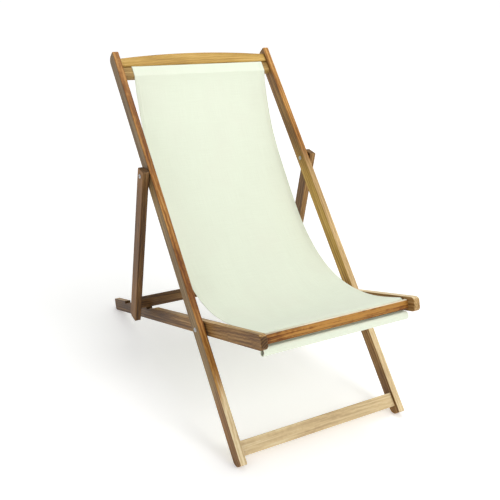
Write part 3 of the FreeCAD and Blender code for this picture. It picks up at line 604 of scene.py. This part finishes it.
def make_canvas(cloth, material):
    """Two layers of faces, joined by a rim all round."""
    xs = columns()
    rows, cols = len(cloth.points), len(xs)
    points, uvs = [], []
    for layer in (1, -1):
        for i in range(rows):
            for x in xs:
                points.append(cloth.place(i, x, layer * half_thick(x)))
                uvs.append((x, cloth.runs[i]))

    def at(layer, i, j):
        return layer * rows * cols + i * cols + j

    faces = []
    for i in range(rows - 1):
        for j in range(cols - 1):
            faces.append((at(0, i, j), at(0, i + 1, j), at(0, i + 1, j + 1), at(0, i, j + 1)))
            faces.append((at(1, i, j), at(1, i, j + 1), at(1, i + 1, j + 1), at(1, i + 1, j)))
        for j, way in ((0, 1), (cols - 1, -1)):
            rim = (at(0, i, j), at(1, i, j), at(1, i + 1, j), at(0, i + 1, j))
            faces.append(rim[::way])
    for i, way in ((0, -1), (rows - 1, 1)):
        for j in range(cols - 1):
            rim = (at(0, i, j), at(1, i, j), at(1, i, j + 1), at(0, i, j + 1))
            faces.append(rim[::way])
    return make_mesh("sling", points, faces, material, uvs)


STITCH_PITCH = 4.2 * MM
STITCH_LONG = 3.2 * MM
STITCH_HALF = 0.28 * MM
STITCH_SIDES = 6
STITCH_IN = HEM_WIDE - 2.6 * MM
STITCH_BEFORE_SAG = 0.03
STITCH_AFTER_SAG = 0.01

# A stitch's rings, each as a share of its length from the middle and of its radius.
STITCH_PROFILE = ((-0.5, 0.35), (-0.25, 1.0), (0.25, 1.0), (0.5, 0.35))


def make_stitching(cloth, material):
    """One row of stitches down each hem, on both faces of the cloth."""
    points, faces = [], []
    first = cloth.runs[cloth.sag_start] - STITCH_BEFORE_SAG
    last = cloth.runs[cloth.sag_end] + STITCH_AFTER_SAG
    seam = CLOTH_WIDE / 2 - STITCH_IN
    for x in (-seam, seam):
        for layer in (1, -1):
            for k in range(int((last - first) / STITCH_PITCH)):
                rings = []
                for end, wide in STITCH_PROFILE:
                    run = first + k * STITCH_PITCH + end * STITCH_LONG
                    rings.append((cloth.between(run, x, layer * HEM_HALF), wide * STITCH_HALF))
                add_stitch(points, faces, rings)
    return make_mesh("hem_stitching", points, faces, material)


def add_stitch(points, faces, rings):
    """A closed tube through rings, each a centre and a radius."""
    way = (rings[-1][0] - rings[0][0]).normalized()
    across = Vector((1, 0, 0))
    up = way.cross(across)
    base = len(points)
    for centre, radius in rings:
        for s in range(STITCH_SIDES):
            angle = 2 * math.pi * s / STITCH_SIDES
            points.append(centre + (across * math.cos(angle) + up * math.sin(angle)) * radius)
    for r in range(len(rings) - 1):
        for s in range(STITCH_SIDES):
            a = base + r * STITCH_SIDES + s
            b = base + r * STITCH_SIDES + (s + 1) % STITCH_SIDES
            faces.append((a, b, b + STITCH_SIDES, a + STITCH_SIDES))
    last = base + (len(rings) - 1) * STITCH_SIDES
    faces.append(tuple(base + s for s in reversed(range(STITCH_SIDES))))
    faces.append(tuple(last + s for s in range(STITCH_SIDES)))


def dress_with_canvas():
    """The canvas and its hem stitching, in a sag between the long frame and the seat frame, in place
    of the CAD sling.
    """
    cloth = Cloth()
    sling = make_canvas(cloth, canvas_cloth())
    stitching = make_stitching(cloth, thread())
    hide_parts("sling_canvas")
    for piece in (sling, stitching):
        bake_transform(piece)


# ---------------------------------------------------------------- studio
CAMERA_AZIMUTH = math.radians(-31.81)
CAMERA_ELEVATION = math.radians(23.84)
CAMERA_ROLL = math.radians(3.834)
CAMERA_AWAY = 2.3142
CAMERA_AIM = Vector((0.0333, 0.0510, 0.3563))
CAMERA_LENS = 53.33


def add_camera():
    back = Vector((math.sin(CAMERA_AZIMUTH) * math.cos(CAMERA_ELEVATION),
                   -math.cos(CAMERA_AZIMUTH) * math.cos(CAMERA_ELEVATION),
                   math.sin(CAMERA_ELEVATION)))
    right = Vector((0, 0, 1)).cross(back).normalized()
    up = back.cross(right)
    rolled_right = right * math.cos(CAMERA_ROLL) + up * math.sin(CAMERA_ROLL)
    rolled_up = up * math.cos(CAMERA_ROLL) - right * math.sin(CAMERA_ROLL)
    camera = bpy.data.objects.new("camera", bpy.data.cameras.new("camera"))
    camera.data.lens = CAMERA_LENS
    axes = Matrix((rolled_right, rolled_up, back)).transposed().to_4x4()
    camera.matrix_world = Matrix.Translation(CAMERA_AIM + back * CAMERA_AWAY) @ axes
    bpy.context.scene.collection.objects.link(camera)
    bpy.context.scene.camera = camera


FLOOR_REACH = 200

# The floor's own light, which grows with distance so that it fades to white.
GLOW_NEAR, GLOW_FAR = 0.9, 3.2
GLOW_FAINT, GLOW_FULL = 0.32, 0.58


def add_floor():
    mesh = bpy.data.meshes.new("floor")
    corners = [(x * FLOOR_REACH, y * FLOOR_REACH, 0)
               for x, y in ((-1, -1), (1, -1), (1, 1), (-1, 1))]
    mesh.from_pydata(corners, [], [(0, 1, 2, 3)])
    n = Nodes("floor_paint")
    where = n.add("ShaderNodeTexCoord").outputs["Object"]
    colour = n.ramp(n.noise(where, 3.0), [(0.3, (0.89, 0.89, 0.885)), (0.7, (0.91, 0.91, 0.905))])
    n.link(colour, n.shader.inputs["Base Color"])
    n.shader.inputs["Roughness"].default_value = 0.9
    away = n.add("ShaderNodeVectorMath", operation="LENGTH")
    n.link(where, away.inputs[0])
    glow = n.grade(away.outputs["Value"], GLOW_NEAR, GLOW_FAR, GLOW_FAINT, GLOW_FULL)
    n.link(glow, n.shader.inputs["Emission Strength"])
    n.shader.inputs["Emission Color"].default_value = (1, 1, 1, 1)
    mesh.materials.append(n.material)
    floor = bpy.data.objects.new("floor", mesh)
    bpy.context.scene.collection.objects.link(floor)


LIT_POINT = (0, 0, 0.45)


def add_light(name, place, size, power, colour=(1, 1, 1)):
    """A round area light that faces the middle of the chair: its width in metres, its watts."""
    light = bpy.data.lights.new(name, "AREA")
    light.shape = "DISK"
    light.size, light.energy, light.color = size, power, colour
    lamp = bpy.data.objects.new(name, light)
    lamp.location = place
    lamp.rotation_euler = (Vector(LIT_POINT) - Vector(place)).to_track_quat("-Z", "Y").to_euler()
    bpy.context.scene.collection.objects.link(lamp)


# The world's brightness at the horizon and above, by the height of the direction looked in.
HORIZON, OVERHEAD = 1.0, 0.48
HORIZON_TOP, OVERHEAD_START = 0.10, 0.24


def add_world():
    world = bpy.data.worlds.new("studio")
    world.use_nodes = True
    nodes, links = world.node_tree.nodes, world.node_tree.links
    way = nodes.new("ShaderNodeTexCoord").outputs["Generated"]
    parts = nodes.new("ShaderNodeSeparateXYZ")
    links.new(way, parts.inputs[0])
    fade = nodes.new("ShaderNodeMapRange")
    links.new(parts.outputs["Z"], fade.inputs["Value"])
    settings = {"From Min": HORIZON_TOP, "From Max": OVERHEAD_START,
                "To Min": HORIZON, "To Max": OVERHEAD}
    for socket, number in settings.items():
        fade.inputs[socket].default_value = number
    nodes["Background"].inputs["Color"].default_value = (1, 1, 1, 1)
    links.new(fade.outputs["Result"], nodes["Background"].inputs["Strength"])
    bpy.context.scene.world = world


def light_studio():
    add_light("key", (1.1, -3.0, 2.6), size=1.8, power=44, colour=(1.0, 0.99, 0.97))
    add_light("fill", (-3.0, -1.2, 1.6), size=2.4, power=8)
    add_light("top", (0.6, 0.2, 3.2), size=2.0, power=34)
    add_world()
    bpy.context.scene.view_settings.view_transform = "Standard"


paint_frame()
dress_with_canvas()
add_camera()
add_floor()
light_studio()
